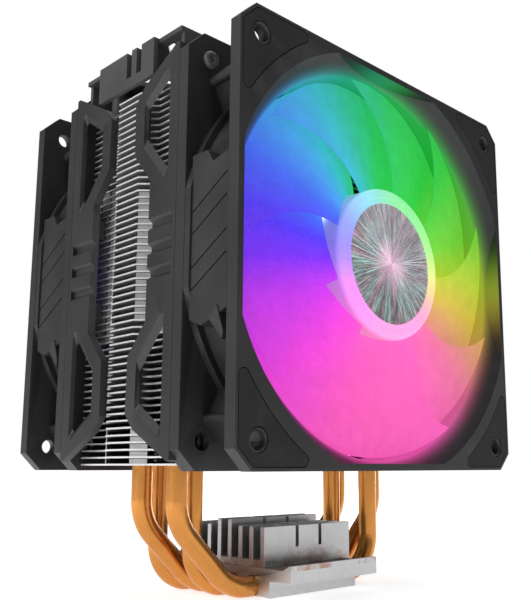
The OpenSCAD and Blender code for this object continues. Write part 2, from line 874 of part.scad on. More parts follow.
module rear_fan_frame() { rear_fan() fan_frame(-1); }
module rear_intake_pads() { rear_fan() intake_pads(); }
module rear_exhaust_pads() { rear_fan() exhaust_pads(); }
module rear_stator_core() { rear_fan() stator_core(); }
module rear_stator_coils() { rear_fan() stator_coils(); }
module rear_circuit_board() { rear_fan() circuit_board(); }
module rear_leds() { rear_fan() leds(); }
module rear_bearing_sleeve() { rear_fan() bearing_sleeve(); }
module rear_bearing_cap() { rear_fan() bearing_cap(); }
module rear_impeller() { rear_fan() impeller(); }
module rear_hub_medallion() { rear_fan() hub_medallion(); }
module rear_rotor_cup() { rear_fan() rotor_cup(); }
module rear_rotor_magnet() { rear_fan() rotor_magnet(); }
module rear_shaft() { rear_fan() shaft(); }
module rear_shaft_clip() { rear_fan() shaft_clip(); }

base_plate();
base_fin_block();
heat_pipe_1();
heat_pipe_2();
heat_pipe_3();
heat_pipe_4();
fin_stack();
top_cover();
front_bracket();
front_bracket_pins();
front_fan_frame();
front_intake_pads();
front_exhaust_pads();
front_stator_core();
front_stator_coils();
front_circuit_board();
front_leds();
front_bearing_sleeve();
front_bearing_cap();
front_impeller();
front_hub_medallion();
front_rotor_cup();
front_rotor_magnet();
front_shaft();
front_shaft_clip();
rear_bracket();
rear_bracket_pins();
rear_fan_frame();
rear_intake_pads();
rear_exhaust_pads();
rear_stator_core();
rear_stator_coils();
rear_circuit_board();
rear_leds();
rear_bearing_sleeve();
rear_bearing_cap();
rear_impeller();
rear_hub_medallion();
rear_rotor_cup();
rear_rotor_magnet();
rear_shaft();
rear_shaft_clip();
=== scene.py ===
import bpy
import json
import math
import random
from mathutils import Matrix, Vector


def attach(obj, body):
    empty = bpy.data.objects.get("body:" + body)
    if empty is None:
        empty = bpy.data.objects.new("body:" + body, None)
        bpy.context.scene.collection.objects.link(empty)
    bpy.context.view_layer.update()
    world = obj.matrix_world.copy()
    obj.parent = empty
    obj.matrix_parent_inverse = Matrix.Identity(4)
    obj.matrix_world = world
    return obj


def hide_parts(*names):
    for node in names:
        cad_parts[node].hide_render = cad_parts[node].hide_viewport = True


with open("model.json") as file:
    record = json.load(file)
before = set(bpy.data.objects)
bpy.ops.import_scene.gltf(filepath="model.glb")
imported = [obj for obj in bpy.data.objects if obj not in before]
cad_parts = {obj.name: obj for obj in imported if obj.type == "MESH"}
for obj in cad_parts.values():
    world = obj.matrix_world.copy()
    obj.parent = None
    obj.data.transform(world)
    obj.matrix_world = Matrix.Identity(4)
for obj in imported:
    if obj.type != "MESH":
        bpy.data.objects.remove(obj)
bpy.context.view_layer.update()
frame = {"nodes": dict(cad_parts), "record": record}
scene = bpy.context.scene
MM = 0.001
FAN_Z = 96.0                             # height of both fans' axis, in mm
FANS = {"front": -52.8, "rear": 27.4}    # Y of each fan's intake face, local depth 0, in mm

# ------------------------------------------------------------------ camera, light, floor
cam = bpy.data.objects.new("camera", bpy.data.cameras.new("camera"))
scene.collection.objects.link(cam)
cam.location = (-0.18325, -0.19722, 0.03740)
cam.rotation_euler = (math.radians(100.031), 0, math.radians(-45.213))
cam.data.sensor_width = 36
cam.data.lens = 48.63
cam.data.shift_x = -0.0618
cam.data.shift_y = 0.0373
cam.data.clip_start = 0.01
cam.data.clip_end = 20
scene.camera = cam
scene.view_settings.view_transform = "Standard"
scene.view_settings.look = "None"


def area_light(name, at, look_at, size, watts):
    """White rectangular light that faces a point."""
    data = bpy.data.lights.new(name, "AREA")
    data.shape = "RECTANGLE"
    data.size, data.size_y = size
    data.energy = watts
    o = bpy.data.objects.new(name, data)
    o.location = at
    o.rotation_euler = (Vector(look_at) - Vector(at)).to_track_quat("-Z", "Y").to_euler()
    scene.collection.objects.link(o)


area_light("key_left", (-0.85, 0.10, 0.55), (0, 0, 0.09), (0.6, 0.6), 5.0)
area_light("fill_front", (0.15, -1.1, 0.45), (0, 0, 0.09), (0.8, 0.5), 0.4)
area_light("top_soft", (0.1, 0.1, 1.1), (0, 0, 0.1), (0.9, 0.9), 6.0)
area_light("rim_right", (0.9, 0.35, 0.35), (0, 0, 0.09), (0.5, 0.7), 4.0)


def studio_world(backdrop=1.0, ambient=0.17):
    """White backdrop where it is seen directly, and a much dimmer light on the object."""
    world = bpy.data.worlds.new("studio")
    scene.world = world
    world.use_nodes = True
    tree = world.node_tree
    tree.nodes.clear()
    out = tree.nodes.new("ShaderNodeOutputWorld")
    path = tree.nodes.new("ShaderNodeLightPath")
    mix = tree.nodes.new("ShaderNodeMixShader")
    shades = []
    for colour, strength in (((0.97, 0.98, 1, 1), ambient), ((1, 1, 1, 1), backdrop)):
        shade = tree.nodes.new("ShaderNodeBackground")
        shade.inputs["Color"].default_value = colour
        shade.inputs["Strength"].default_value = strength
        shades.append(shade)
    tree.links.new(path.outputs["Is Camera Ray"], mix.inputs[0])
    tree.links.new(shades[0].outputs[0], mix.inputs[1])
    tree.links.new(shades[1].outputs[0], mix.inputs[2])
    tree.links.new(mix.outputs[0], out.inputs[0])


studio_world()

# ------------------------------------------------------------------ material helper
SOCKETS = {"color": "Base Color", "metal": "Metallic", "rough": "Roughness", "spec": "Specular IOR Level",
           "glow": "Emission Strength", "glow_color": "Emission Color"}
MATS = {}    # every material by its name, which is also the record's slot where there is one
X, Y, Z = 0, 1, 2


class Mat:
    """A material with a Principled shader, set by the short names in SOCKETS, and a builder for its nodes.

    pos is the position in the piece's own coordinates, in metres. They are the row frame's at rest, and
    they follow the piece as its body moves.
    """

    def __init__(self, name, **constants):
        self.m = bpy.data.materials.new(name)
        self.m.use_nodes = True
        self.t = self.m.node_tree
        self.b = self.t.nodes["Principled BSDF"]
        for key, value in constants.items():
            self.set(key, value)
        self.pos = self.node("TexCoord").outputs["Object"]
        MATS[name] = self

    def node(self, kind, values=None, **props):
        n = self.t.nodes.new("ShaderNode" + kind)
        for key, value in props.items():
            setattr(n, key, value)
        for key, value in (values or {}).items():
            self.feed(n.inputs[key], value)
        return n

    def feed(self, socket, v):
        """Link a socket, or set a number or colour."""
        if isinstance(v, bpy.types.NodeSocket):
            self.t.links.new(v, socket)
        elif hasattr(socket.default_value, "__len__") and len(socket.default_value) == 4 and len(v) == 3:
            socket.default_value = (*v, 1)
        else:
            socket.default_value = v

    def set(self, key, v):
        self.feed(self.b.inputs[SOCKETS[key]], v)

    def source(self, key):
        """The socket that feeds one of the shader's inputs."""
        return self.b.inputs[SOCKETS[key]].links[0].from_socket

    def part(self, vector, axis):
        """X, Y or Z of a vector."""
        return self.node("SeparateXYZ", {"Vector": vector}).outputs[axis]

    def geometry(self, output):
        """World Position, world Normal, or Pointiness."""
        return self.node("NewGeometry").outputs[output]

    def math(self, op, a, b=0.0):
        n = self.node("Math", operation=op)
        self.feed(n.inputs[0], a)
        self.feed(n.inputs[1], b)
        return n.outputs[0]

    def times(self, *factors):
        """Product of two or more numbers and sockets."""
        out = factors[0]
        for factor in factors[1:]:
            out = self.math("MULTIPLY", out, factor)
        return out

    def fan_offset(self, point):
        """X and Z of a point from the fan axis, and its distance from the axis."""
        x = self.part(point, X)
        z = self.math("SUBTRACT", self.part(point, Z), FAN_Z * MM)
        away = self.math("SQRT", self.math("ADD", self.math("POWER", x, 2.0), self.math("POWER", z, 2.0)))
        return x, z, away

    def noise(self, scale, detail=2.0, rough=0.5, stretch=None, vec=None):
        v = vec or self.pos
        if stretch:
            v = self.node("Mapping", {"Vector": v, "Scale": stretch}).outputs[0]
        values = {"Vector": v, "Scale": scale, "Detail": detail, "Roughness": rough}
        return self.node("TexNoise", values).outputs["Fac"]

    def span(self, v, lo, hi, frm=(0, 1)):
        """v as it runs over frm, turned into lo to hi and held at the ends."""
        values = {"Value": v, "From Min": frm[0], "From Max": frm[1], "To Min": lo, "To Max": hi}
        return self.node("MapRange", values).outputs[0]

    def mix(self, fac, a, b):
        n = self.node("Mix", data_type="RGBA")
        self.feed(n.inputs[0], fac)
        self.feed(n.inputs[6], a)
        self.feed(n.inputs[7], b)
        return n.outputs[2]

    def ramp(self, fac, stops):
        n = self.node("ValToRGB", {"Fac": fac})
        els = n.color_ramp.elements
        while len(els) < len(stops):
            els.new(0.5)
        for e, (at, col) in zip(els, stops):
            e.position = at
            e.color = (*col, 1)
        return n.outputs[0]

    def bump(self, height, strength, distance):
        """Adds a bump on top of those set before."""
        last = self.b.inputs["Normal"].links
        n = self.node("Bump", {"Height": height, "Strength": strength, "Distance": distance})
        if last:
            self.t.links.new(last[0].from_socket, n.inputs["Normal"])
        self.t.links.new(n.outputs[0], self.b.inputs["Normal"])

    def worn(self, base, edge, amount=0.6):
        """Colour that turns to edge along sharp outside edges, broken up by noise: a painted highlight where
        edges catch light.
        """
        edge_highlight_mask = self.span(self.geometry("Pointiness"), 0, amount, (0.52, 0.62))
        return self.mix(self.times(edge_highlight_mask, self.noise(900, 3)), base, edge)


def lin(r, g, b):
    """Linear colour from an 8 bit one, by the sRGB curve."""
    def channel(c):
        return c / 255 / 12.92 if c <= 10 else ((c / 255 + 0.055) / 1.055) ** 2.4
    return (channel(r), channel(g), channel(b))


def scaled(colour, factor, add=0.0):
    return tuple(c * factor + add for c in colour)


# ------------------------------------------------------------------ plastics
def plastic(name, base, rough, grain=2600, bump=0.22, patch=0.25):
    """Moulded plastic: fine grain with light specks, soft clouds, a painted highlight along sharp edges and
    slight waviness.
    """
    m = Mat(name, rough=rough, spec=0.42)
    cloud = m.noise(45, 4, 0.6)
    speck = m.noise(grain, 2, 0.6)
    col = m.mix(m.span(cloud, 0, 1, (0.3, 0.7)), scaled(base, 1 - patch), scaled(base, 1 + patch, 0.002))
    col = m.mix(m.span(speck, 0, 0.35, (0.45, 0.75)), col, scaled(base, 2.1))
    # Sharp edges turn lighter: a painted highlight
    m.set("color", m.worn(col, scaled(base, 3, 0.01)))
    m.set("rough", m.math("ADD", m.span(cloud, rough - 0.06, rough + 0.05), m.span(speck, -0.05, 0.05)))
    m.bump(speck, bump, 0.00008)
    m.bump(m.noise(160, 3), 0.06, 0.0004)
    return m


fan_black = plastic("fan_black", (0.0165, 0.0165, 0.018), 0.50)
plastic("bracket_black", (0.020, 0.020, 0.0215), 0.46, grain=2200)
plastic("cover_black", (0.052, 0.052, 0.054), 0.40)
plastic("pad_rubber", (0.0075, 0.0075, 0.008), 0.74, grain=1700, bump=0.35)
plastic("pin_steel", (0.075, 0.075, 0.078), 0.36, grain=2400)    # the photo's pins are dark plastic
plastic("cap_white", (0.72, 0.72, 0.69), 0.45, patch=0.06)
plastic("board_green", (0.015, 0.08, 0.045), 0.35, patch=0.3)


# ------------------------------------------------------------------ metals
def metal(name, base, rough, stretch, streak=1200, tint=0.12, bump=0.12, patch_col=None):
    """Metal with fine lines along the axis whose stretch is smallest, and soft patches of another colour."""
    m = Mat(name, metal=1.0, rough=rough)
    lines = m.noise(streak, 3, 0.6, stretch)
    cloud = m.noise(60, 4, 0.65)
    light = tuple(min(1, c * (1 + tint)) for c in base)
    col = m.mix(m.span(lines, 0, 1, (0.3, 0.7)), scaled(base, 1 - tint), light)
    if patch_col:
        col = m.mix(m.span(cloud, 0, 0.55, (0.5, 0.75)), col, patch_col)
    # Sharp edges turn lighter: a painted highlight
    m.set("color", m.worn(col, tuple(min(1, c * 1.25 + 0.05) for c in base), 0.8))
    m.set("rough", m.math("ADD", m.span(lines, rough - 0.06, rough + 0.08), m.span(cloud, -0.05, 0.05)))
    m.bump(lines, bump, 0.00005)
    return m


def fin_aluminium():
    """Bright cut edges; the fins' broad faces get a painted shade by how they face, as falls between close
    fins.
    """
    m = metal("fin_aluminium", (0.93, 0.935, 0.94), 0.32, (0.05, 1, 1), 1500, 0.06)
    m.set("metal", 0.6)
    fin_face_shade = m.math("ABSOLUTE", m.part(m.geometry("Normal"), Z))
    # Painted shade: faces that look up or down turn dark grey
    m.set("color", m.mix(m.span(fin_face_shade, 0, 0.72, (0.3, 0.8)), m.source("color"), (0.10, 0.10, 0.105)))


def base_aluminium():
    """Blasted aluminium with a warm tint low on the finned block, beside the copper pipes."""
    block_bottom, tint_from, tint_to = 0.0081, 0.0085, 0.0150
    m = metal("base_aluminium", (0.60, 0.60, 0.61), 0.40, (1, 0.06, 1), 900, 0.06,
              patch_col=(0.55, 0.55, 0.57))
    m.bump(m.noise(4200, 2, 0.7), 0.35, 0.00006)
    z = m.part(m.pos, Z)
    low = m.span(z, 0.75, 0, (tint_from, tint_to))
    broken = m.span(m.noise(150, 4, 0.7), 0, 1, (0.44, 0.6))
    warm = m.times(low, broken, m.math("GREATER_THAN", z, block_bottom))
    m.set("color", m.mix(warm, m.source("color"), (0.42, 0.20, 0.11)))


fin_aluminium()
metal("tab_aluminium", (0.50, 0.50, 0.51), 0.36, (0.2, 1, 1), 1100, 0.12).set("metal", 0.85)
metal("collar_aluminium", (0.66, 0.66, 0.67), 0.3, (1, 1, 0.2), 900, 0.05)
base_aluminium()
metal("pipe_copper", (0.62, 0.265, 0.066), 0.27, (1, 1, 0.05), 700, 0.035, 0.03, patch_col=(0.54, 0.21, 0.05))
metal("core_steel", (0.30, 0.30, 0.32), 0.45, (0.1, 1, 0.1), 3000, 0.3, 0.5)
metal("winding_copper", (0.62, 0.25, 0.10), 0.30, None, 2500, 0.2, 0.4)
metal("sleeve_brass", (0.60, 0.42, 0.20), 0.42, None, 5000, 0.15, 0.3)
metal("cup_steel", (0.52, 0.52, 0.53), 0.33, (1, 0.1, 1), 1500)
metal("magnet_dark", (0.10, 0.095, 0.09), 0.6, None, 4000, 0.3, 0.3)
metal("shaft_steel", (0.66, 0.66, 0.67), 0.2, (1, 0.1, 1), 4000)


# ------------------------------------------------------------------ lamps and painted glow
led = Mat("led_white", color=(0.95, 0.95, 0.9), rough=0.2, glow_color=(1, 0.98, 0.95))
led.set("glow", led.span(led.noise(1500), 5.0, 8.0))

# Colours of the painted glow round the fan, by clock hour as the front is looked at
HOURS = [(0.0, (255, 90, 186)), (0.8, (255, 84, 194)), (1.6, (240, 58, 222)), (2.3, (196, 44, 238)),
         (2.8, (122, 34, 248)), (3.3, (80, 50, 248)), (3.8, (64, 100, 244)), (4.45, (66, 160, 236)),
         (5.0, (50, 186, 206)), (5.6, (34, 190, 146)), (6.3, (26, 200, 88)), (7.4, (34, 204, 56)),
         (8.3, (112, 210, 44)), (8.9, (186, 212, 42)), (9.4, (216, 186, 60)), (9.8, (224, 150, 110)),
         (10.3, (240, 112, 160)), (11.0, (255, 92, 190)), (12.0, (255, 90, 186))]


def hour_stops(wash=0.0):
    """HOURS as a colour ramp's stops, with white mixed in by wash."""
    return [(hour / 12, scaled(lin(*col), 1 - wash, wash)) for hour, col in HOURS]


def clock(m):
    """0 to 1 once round the fan axis, the distance from the axis, and the angle. They are fixed in space
    while the rotor turns under them, because the lights sit on the motor base."""
    x, z, away = m.fan_offset(m.geometry("Position"))
    turn = m.math("ARCTAN2", x, z)
    around = m.math("ADD", m.math("DIVIDE", turn, 2 * math.pi), 0.5)
    return around, away, turn


def either_fan(m, one):
    """Sum of what one(y0) gives for each fan."""
    return m.math("ADD", *[one(y0) for y0 in FANS.values()])


def painted_light_spots(m, y, turn, away):
    """Eight painted bright spots of light round the hub's side, in front of the ring of lights."""
    lights, first, sharp = 8.0, math.radians(14.5), 5.0
    depth, reach = 13.4, 0.0075    # local depth of the spots in mm, and how far they spread in metres
    comb = m.math("COSINE", m.times(m.math("ADD", turn, first), lights))
    near = m.math("POWER", m.span(comb, 0, 1, (-1, 1)), sharp)

    def along(y0):
        return m.span(m.math("ABSOLUTE", m.math("SUBTRACT", y, (y0 + depth) * MM)), 1, 0, (0, reach))

    on_side = m.span(away, 0, 1, (0.0205, 0.0222))
    return m.times(near, m.math("POWER", either_fan(m, along), 1.6), on_side)


def painted_rim_light(m, y):
    """Painted light along the hub's rounded front edge."""
    def one(y0):
        fade = m.span(y, 0.5, 0, ((y0 + 0.9) * MM, (y0 + 2.6) * MM))
        return m.times(fade, m.math("GREATER_THAN", y, (y0 - 1) * MM))
    return either_fan(m, one)


def lit(name, wash=0.0, glow=1.0, rough=0.4, hot=0.0):
    """Frosted plastic with a painted glow in the colours of HOURS, standing in for the light of the LEDs
    behind it.
    wash mixes in white, and hot is the strength of the painted bright spots."""
    hub_edge, blade_tip = 0.022, 0.057
    m = Mat(name, rough=rough, spec=0.16)
    around, away, turn = clock(m)
    wobble = m.math("ADD", around, m.span(m.noise(26, 2), -0.012, 0.012))
    col = m.ramp(wobble, hour_stops(wash))
    grain = m.noise(2600, 2, 0.7)
    fine = m.noise(220, 4, 0.6)
    col = m.mix(m.span(grain, 0, 0.05, (0.35, 0.8)), col, (1, 1, 1))
    # Dark base tinted with the glow colour, painted light like the glow itself
    m.set("color", m.mix(0.90, col, (0.01, 0.01, 0.01)))
    m.set("glow_color", col)
    # Painted glow, stronger near the hub, with patchy noise
    power = m.times(m.span(away, glow * 1.06, glow * 0.84, (hub_edge, blade_tip)),
                    m.span(fine, 0.93, 1.07, (0.3, 0.7)))
    y = m.part(m.pos, Y)
    if hot:
        spots = painted_light_spots(m, y, turn, away)
        power = m.math("ADD", m.math("ADD", power, painted_rim_light(m, y)), m.times(spots, hot))
        m.set("glow_color", m.mix(m.math("MINIMUM", spots, 1.0), col, (1, 1, 1)))
    # The painted glow is weak on faces towards the fin stack, which both fans have at their inner side
    side = m.math("SIGN", y)
    out = m.times(side, m.part(m.geometry("Normal"), Y))
    leak = m.span(side, 0.12, 0.012, (-1, 1))
    facing = m.span(out, 0, 1, (-0.35, 0.05))
    shown = m.math("ADD", leak, m.times(facing, m.math("SUBTRACT", 1.0, leak)))
    m.set("glow", m.times(power, shown))
    m.set("rough", m.span(grain, rough - 0.08, rough + 0.12))
    m.bump(grain, 0.25, 0.00008)


def duct_glow(m):
    """Painted glow: the duct's wall and mouth get the colours of the blades, as their light reflected there.
    Only faces that look at the axis glow.
    """
    rises, falls = (0.0560, 0.0570), (0.0575, 0.0618)    # distances from the axis, in metres
    mouth = (0.0290, 0.0320)    # distances from the plane between the fans; it glows beyond them
    around, away, _ = clock(m)
    normal = m.geometry("Normal")
    x, z, _ = m.fan_offset(m.geometry("Position"))
    radial = m.math("ADD", m.times(m.part(normal, X), x), m.times(m.part(normal, Z), z))
    inward = m.span(radial, 1, 0, (-0.045, -0.012))
    fall = m.math("POWER", m.span(away, 1, 0, falls), 3.0)
    outer = m.span(m.math("ABSOLUTE", m.part(m.pos, Y)), 0, 1, mouth)
    m.set("glow_color", m.ramp(around, hour_stops()))
    m.set("glow", m.times(m.span(away, 0, 1, rises), m.times(fall, 0.62), inward, outer))


def medallion_foil():
    """Iridescent foil with rays out of the middle; its rays glow with a painted sheen, and a painted
    reflection makes its upper side brighter.
    """
    m = Mat("medallion_foil", rough=0.3, metal=0.55)
    x, z, away = m.fan_offset(m.pos)
    turn = m.math("ARCTAN2", x, z)
    rays = m.node("CombineXYZ", {"X": m.times(m.math("SINE", turn), 5.5),
                                 "Y": m.times(m.math("COSINE", turn), 5.5),
                                 "Z": m.times(away, 60.0)}).outputs[0]
    fine = m.noise(3.2, 5, 0.75, vec=rays)
    wide = m.noise(0.7, 2, 0.5, vec=rays)
    tint = m.ramp(wide, [(0.30, (0.42, 0.25, 0.36)), (0.42, (0.40, 0.42, 0.42)), (0.5, (0.30, 0.55, 0.50)),
                         (0.58, (0.45, 0.46, 0.44)), (0.68, (0.62, 0.30, 0.44))])
    col = m.mix(m.span(fine, 0, 1, (0.38, 0.64)), (0.16, 0.16, 0.17), tint)
    core = m.span(away, 1, 0, (0.001, 0.0085))
    col = m.mix(m.times(core, 0.8), col, (0.72, 0.42, 0.58))
    # Painted reflection: the upper side turns lighter, broken by the wide tint pattern
    slope = m.math("ADD", z, m.times(x, 0.5))
    upper = m.times(m.span(slope, 0, 0.55, (-0.012, 0.014)), m.span(wide, 0.4, 1.0, (0.35, 0.65)))
    col = m.mix(upper, col, (0.66, 0.52, 0.62))
    m.set("color", col)
    m.set("glow_color", col)
    # Painted sheen: the fine rays and the core glow, though the foil is no lamp
    m.set("glow", m.math("ADD", m.span(fine, 0.16, 0.55, (0.35, 0.7)), m.times(core, 0.2)))
    m.set("rough", m.span(fine, 0.22, 0.42))
    m.bump(fine, 0.3, 0.0001)


def sticker_foil():
    """Plain foil with fine turned rings."""
    turned = 2600.0    # radians of the ring pattern in a metre
    m = Mat("sticker_foil", rough=0.34, metal=0.35)
    _, _, away = m.fan_offset(m.pos)
    ring = m.span(m.math("SINE", m.times(away, turned)), 0, 1, (0.6, 1))
    m.set("color", m.mix(m.times(ring, m.noise(120, 3)), (0.10, 0.10, 0.105), (0.34, 0.34, 0.35)))
    m.set("rough", m.span(m.noise(70, 4), 0.26, 0.45))
    m.bump(m.noise(900, 2), 0.08, 0.00004)


# Painted glow on the duct, and painted glow on the blades and the hub
duct_glow(fan_black)
lit("blade_frosted", wash=0.0, glow=0.97, rough=0.5)
lit("hub_frosted", wash=0.20, glow=0.76, rough=0.45, hot=2.6)
medallion_foil()
sticker_foil()


# ------------------------------------------------------------------ floor
def studio_floor(half=9.0):
    """Pale floor whose own light grows with distance until it meets the white backdrop."""
    m = Mat("floor", rough=0.7, spec=0.1, glow_color=(1, 1, 1))
    m.set("color", m.mix(m.noise(3, 3), (0.80, 0.80, 0.80), (0.84, 0.84, 0.835)))
    far = m.node("VectorMath", {0: m.pos}, operation="LENGTH").outputs["Value"]
    m.set("glow", m.math("ADD", m.span(far, 0.66, 0.97, (0.25, 1.0)), m.span(m.noise(2), 0, 0.015)))
    me = bpy.data.meshes.new("floor")
    verts = [(-half, -half, 0), (half, -half, 0), (half, half, 0), (-half, half, 0)]
    me.from_pydata(verts, [], [(0, 1, 2, 3)])
    me.materials.append(m.m)
    o = bpy.data.objects.new("floor", me)
    scene.collection.objects.link(o)
    return o


studio_floor()

# ------------------------------------------------------------------ CAD nodes: material and softened edges
slot_of = {s["node"]: s["material_slot"] for s in frame["record"]["subparts"]}
EDGE = {"bracket": 0.28, "fan_frame": 0.22, "top_cover": 0.25, "base_plate": 0.25, "base_fin_block": 0.18,
        "intake_pads": 0.18, "exhaust_pads": 0.18, "bracket_pins": 0.3}    # width of the soft edge in mm
for name, o in frame["nodes"].items():
    material = MATS[slot_of[name]].m
    if not len(o.data.materials):
        o.data.materials.append(material)
    for i in range(len(o.data.materials)):
        o.data.materials[i] = material
    key = name.replace("front_", "").replace("rear_", "")
    if key in EDGE:
        weld = o.modifiers.new("weld", "WELD")
        weld.merge_threshold = 0.000004
        bevel = o.modifiers.new("edges", "BEVEL")
        bevel.width = EDGE[key] * MM
        bevel.segments = 2
        bevel.limit_method = "ANGLE"
        bevel.angle_limit = math.radians(34)
        bevel.use_clamp_overlap = True
        bevel.harden_normals = True


# ------------------------------------------------------------------ mesh builders
def mesh_object(name, mesh, mat, body, smooth=True, sharp=None):
    """A piece from verts in millimetres in the row frame, and faces."""
    verts, faces = mesh
    me = bpy.data.meshes.new(name)
    me.from_pydata([(x * MM, y * MM, z * MM) for x, y, z in verts], [], faces)
    me.validate()
    if smooth:
        me.polygons.foreach_set("use_smooth", [True] * len(me.polygons))
    me.materials.append(MATS[mat].m)
    o = bpy.data.objects.new(name, me)
    scene.collection.objects.link(o)
    if sharp is not None:
        me.set_sharp_from_angle(angle=math.radians(sharp))
    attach(o, body)
    return o


def lathe(profile, n, y0):
    """Rings of faces round the fan axis from (radius, local depth) points. A point of radius 0 is a pole."""
    verts, rows, faces = [], [], []
    for r, d in profile:
        if r < 1e-6:
            rows.append([len(verts)])
            verts.append((0, y0 + d, FAN_Z))
            continue
        rows.append(list(range(len(verts), len(verts) + n)))
        for k in range(n):
            a = 2 * math.pi * k / n
            verts.append((r * math.cos(a), y0 + d, FAN_Z - r * math.sin(a)))
    for a, b in zip(rows, rows[1:]):
        for k in range(n):
            j = (k + 1) % n
            if len(a) == 1:
                faces.append((a[0], b[j], b[k]))
            elif len(b) == 1:
                faces.append((a[k], a[j], b[0]))
            else:
                faces.append((a[k], a[j], b[j], b[k]))
    return verts, faces


def arc(cx, cy, r, a0, a1, n):
    """n + 1 points from angle a0 to a1, in degrees."""
    return [(cx + r * math.cos(math.radians(a0 + (a1 - a0) * i / n)),
             cy + r * math.sin(math.radians(a0 + (a1 - a0) * i / n))) for i in range(n + 1)]


def joined(parts):
    """One list of verts and one of faces out of several meshes."""
    verts, faces = [], []
    for v, f in parts:
        k = len(verts)
        verts += v
        faces += [tuple(i + k for i in q) for q in f]
    return verts, faces


def placed(mesh, shift, upright=False):
    """A lathed mesh moved off the fan axis; upright turns its axis to Z."""
    out = []
    for x, y, z in mesh[0]:
        z -= FAN_Z
        if upright:
            y, z = z, y
        out.append((x + shift[0], y + shift[1], z + shift[2]))
    return out, mesh[1]


def wire_loop(points, r, n):
    """Round wire along a closed loop of points in a plane."""
    verts, faces = [], []
    pts = [Vector(p) for p in points]
    m = len(pts)
    for i, p in enumerate(pts):
        t = (pts[(i + 1) % m] - pts[i - 1]).normalized()
        u = t.orthogonal().normalized() if i == 0 else (u - t * u.dot(t)).normalized()
        w = t.cross(u)
        for k in range(n):
            q = 2 * math.pi * k / n
            verts.append(tuple(p + (u * math.cos(q) + w * math.sin(q)) * r))
    for i in range(m):
        j = (i + 1) % m
        for k in range(n):
            l = (k + 1) % n
            faces.append((i * n + k, i * n + l, j * n + l, j * n + k))
    return verts, faces


def wall(a, b, z0, z1, out, inset=0.08, t=0.25):
    """Thin upright wall between two points in plan, its outer face inset from the line."""
    nx, ny = out
    far = inset + t
    plan = [(end[0] - nx * d, end[1] - ny * d) for end, d in ((a, inset), (b, inset), (b, far), (a, far))]
    verts = [(x, y, z) for z in (z0, z1) for x, y in plan]
    return verts, [(0, 1, 2, 3), (4, 7, 6, 5), (0, 4, 5, 1), (1, 5, 6, 2), (2, 6, 7, 3), (3, 7, 4, 0)]


# ------------------------------------------------------------------ impellers
BLADES = 9
HUB_R, ROOT_R, TIP_R = 22.6, 22.2, 56.4
CHORD = 70.0       # degrees that one blade covers at its root, enough to close the disc
CHORD_LOSS = 2.0   # degrees less at the tip
SWEEP = -24.0      # degrees that the tip is turned against the root


def blade(index, y0, n_s=26, n_c=20):
    """Curved blade with a rounded section, a fillet at the hub and a thin tip. s runs along it, c across."""
    verts, faces = [], []
    cols = n_c + 1
    for side in (-1, 1):
        for i in range(n_s + 1):
            s = i / n_s
            r = ROOT_R + (TIP_R - ROOT_R) * s
            for j in range(cols):
                c = j / n_c
                a = math.radians(SWEEP * s ** 1.5 + (CHORD - CHORD_LOSS * s) * c + index * 360 / BLADES)
                depth = 2.7 + 1.2 * s + (12.2 - 1.6 * s) * c ** 1.12
                half = 0.7 * (0.22 + 0.78 * math.sin(math.pi * c ** 0.8)) * (1 - 0.35 * s)
                half += 0.8 * math.exp(-(r - HUB_R + 0.3) / 1.1) * math.sin(math.pi * c)
                half *= 1 if i < n_s else 0.35
                verts.append((r * math.cos(a), y0 + depth + side * half, FAN_Z - r * math.sin(a)))
    layer = (n_s + 1) * cols

    def at(k, i, j):
        return k * layer + i * cols + j

    for i in range(n_s):
        for j in range(n_c):
            faces.append((at(0, i, j), at(0, i, j + 1), at(0, i + 1, j + 1), at(0, i + 1, j)))
            faces.append((at(1, i, j), at(1, i + 1, j), at(1, i + 1, j + 1), at(1, i, j + 1)))
    for i in range(n_s):
        faces.append((at(0, i, 0), at(0, i + 1, 0), at(1, i + 1, 0), at(1, i, 0)))
        faces.append((at(0, i, n_c), at(1, i, n_c), at(1, i + 1, n_c), at(0, i + 1, n_c)))
    for j in range(n_c):
        faces.append((at(0, 0, j), at(1, 0, j), at(1, 0, j + 1), at(0, 0, j + 1)))
        faces.append((at(0, n_s, j), at(0, n_s, j + 1), at(1, n_s, j + 1), at(1, n_s, j)))
    return verts, faces


# Section of the hub from its inside wall round the rear edge, the side and the front edge to the recess
# for the medallion
HUB_PROFILE = ([(20.0, 2.6), (20.0, 15.5), (20.3, 15.8)] + arc(22.1, 15.3, 0.5, 90, 0, 4)
               + [(22.6, 12.0), (22.6, 8.0), (22.6, 4.0)] + arc(20.9, 1.9, 1.7, 0, -90, 8)
               + arc(20.1, 0.5, 0.3, -90, -180, 3) + [(19.62, 0.75), (19.5, 0.95), (19.5, 1.3), (0, 1.3)])


def impeller(side, y0):
    """The blades, and the hub apart, so that the hub can be lit in its own way."""
    body = side + "_rotor"
    blades = joined([blade(i, y0) for i in range(BLADES)])
    mesh_object(side + "_blades", blades, "blade_frosted", body, sharp=50)
    hub_mesh = lathe(HUB_PROFILE, 144, y0)
    hub = mesh_object(side + "_hub", hub_mesh, "hub_frosted", body, sharp=40)
    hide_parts(side + "_impeller")


